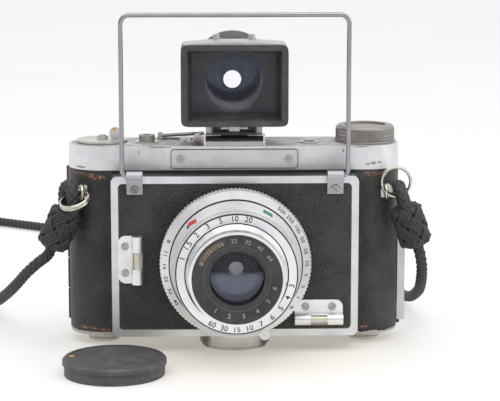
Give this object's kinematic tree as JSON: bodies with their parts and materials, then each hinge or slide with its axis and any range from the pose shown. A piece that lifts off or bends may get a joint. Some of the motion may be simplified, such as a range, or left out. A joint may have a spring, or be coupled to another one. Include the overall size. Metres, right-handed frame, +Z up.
{
  "type": "roll film camera",
  "caption": "Slim rollfilm camera with leaf-shutter wide lens, folding wire frame sight, clip-on optical finder, hinged back, neck cord and lens cap beside it.",
  "frame": {"origin": "centre of the tripod socket's bottom face, where the camera stands on the table", "axes": "+Z up, -Y the way the lens looks, +X to the right of someone who faces the lens"},
  "size_m": [0.2661, 0.3833, 0.1553],
  "materials": {
    "body_paint": "matt black paint on a light alloy casting",
    "inner_paint": "dead black paint inside the camera",
    "satin_chrome": "satin chrome plate, brown and worn at the edges",
    "bright_chrome": "bright chrome plate",
    "leather": "fine grained black leather, chipped to reddish brown at corners",
    "steel": "plain steel",
    "alloy": "turned light alloy",
    "black_alloy": "black anodised light alloy",
    "brass": "plain brass",
    "glass": "coated optical glass",
    "vial": "yellowed glass vial",
    "cord": "round braided black cord",
    "cap_plastic": "grainy grey-black",
    "inlay": "grey textured paint"
  },
  "bodies": {
    "camera_body": {"body_shell": "body_paint", "light_cone": "inner_paint", "top_plate": "satin_chrome", "top_inlay": "inlay", "bottom_plate": "satin_chrome", "front_box": "body_paint", "panel_border": "satin_chrome", "panel_leather": "leather", "body_leather": "leather", "nameplate": "satin_chrome", "front_screws": "steel", "frame_clips": "satin_chrome", "level_bases": "bright_chrome", "level_vials": "vial", "accessory_shoe": "satin_chrome", "sight_bracket": "satin_chrome", "flash_socket": "steel", "top_bezels": "bright_chrome", "counter_glass": "glass", "strap_lugs": "steel", "strap_rings": "steel", "tripod_socket": "satin_chrome", "shutter_housing": "black_alloy", "mount_nut": "black_alloy", "lens_barrel": "bright_chrome", "name_ring": "black_alloy", "lens_glass": "glass", "rear_cell": "black_alloy", "iris_blades": "steel", "shutter_blades": "steel", "hinge_pin": "steel", "strap": "cord", "strap_knots": "cord"},
    "wire_finder": {"wire_frame": "bright_chrome"},
    "rear_sight": {"peep_sight": "steel"},
    "optical_finder": {"finder_hood": "black_alloy", "hood_cover": "satin_chrome", "finder_glass": "glass", "finder_tube": "black_alloy", "eyepiece": "black_alloy", "finder_foot": "black_alloy", "foot_springs": "steel"},
    "winder": {"wind_knob": "alloy", "wind_shaft": "steel", "takeup_spool": "body_paint"},
    "idler": {"idler_gear": "brass"},
    "counter": {"counter_dial": "alloy"},
    "supply": {"supply_crank": "satin_chrome", "supply_spool": "body_paint"},
    "release": {"release_button": "satin_chrome"},
    "shutter_ring": {"speed_ring": "satin_chrome"},
    "distance_ring": {"scale_ring": "satin_chrome"},
    "door": {"back_door": "body_paint", "door_leather": "leather", "pressure_plate": "body_paint", "pressure_springs": "steel"},
    "latch": {"latch_bar": "satin_chrome"},
    "left_spool_knob": {"spool_knob_left": "satin_chrome"},
    "right_spool_knob": {"spool_knob_right": "satin_chrome"},
    "cap": {"lens_cap": "cap_plastic"}
  },
  "joints": [
    {"name": "wire_finder_fold", "type": "hinge", "parent": "camera_body", "child": "wire_finder", "pos_m": [0, -0.01915, 0.082], "axis": [1, 0, 0], "range_deg": [0, 135]},
    {"name": "rear_sight_flip", "type": "hinge", "parent": "camera_body", "child": "rear_sight", "pos_m": [-0.0344, 0.021, 0.0948], "axis": [0, -1, 0], "range_deg": [0, 87]},
    {"name": "optical_finder_slide", "type": "slide", "parent": "camera_body", "child": "optical_finder", "axis": [0, 1, 0], "range_m": [0, 0.025]},
    {"name": "wind_turn", "type": "hinge", "parent": "camera_body", "child": "winder", "pos_m": [0.061, 0.0115, 0.094], "axis": [0, 0, 1], "continuous": true},
    {"name": "idler_turn", "type": "hinge", "parent": "camera_body", "child": "idler", "pos_m": [0.04727, 0.00874, 0.0836], "axis": [0, 0, 1], "continuous": true},
    {"name": "counter_turn", "type": "hinge", "parent": "camera_body", "child": "counter", "pos_m": [0.0348, 0.0124, 0.0862], "axis": [0, 0, 1], "continuous": true},
    {"name": "supply_turn", "type": "hinge", "parent": "camera_body", "child": "supply", "pos_m": [-0.061, 0.0115, 0.094], "axis": [0, 0, 1], "continuous": true},
    {"name": "release_press", "type": "slide", "parent": "camera_body", "child": "release", "axis": [0, 0, -1], "range_m": [0, 0.0018], "stiffness_N_per_m": 1500, "springref_m": -0.0005},
    {"name": "shutter_ring_turn", "type": "hinge", "parent": "camera_body", "child": "shutter_ring", "pos_m": [0, -0.028, 0.0433], "axis": [0, 1, 0], "range_deg": [-60, 60]},
    {"name": "distance_ring_turn", "type": "hinge", "parent": "camera_body", "child": "distance_ring", "pos_m": [0, -0.04, 0.0433], "axis": [0, 1, 0], "range_deg": [-90, 90]},
    {"name": "door_open", "type": "hinge", "parent": "camera_body", "child": "door", "pos_m": [-0.0762, 0.0205, 0.0444], "axis": [0, 0, 1], "range_deg": [0, 110]},
    {"name": "latch_slide", "type": "slide", "parent": "camera_body", "child": "latch", "axis": [0, 0, 1], "range_m": [0, 0.004]},
    {"name": "left_spool_knob_pull", "type": "slide", "parent": "camera_body", "child": "left_spool_knob", "axis": [0, 0, -1], "range_m": [0, 0.005]},
    {"name": "right_spool_knob_pull", "type": "slide", "parent": "camera_body", "child": "right_spool_knob", "axis": [0, 0, -1], "range_m": [0, 0.005]},
    {"name": "cap_lift", "type": "slide", "parent": "camera_body", "child": "cap", "axis": [0, 0, 1], "range_m": [0, 0.02]}
  ],
  "couplings": [
    {"joint": "idler_turn", "follows": "wind_turn", "ratio": -0.33333},
    {"joint": "counter_turn", "follows": "wind_turn", "ratio": 0.1619}
  ]
}
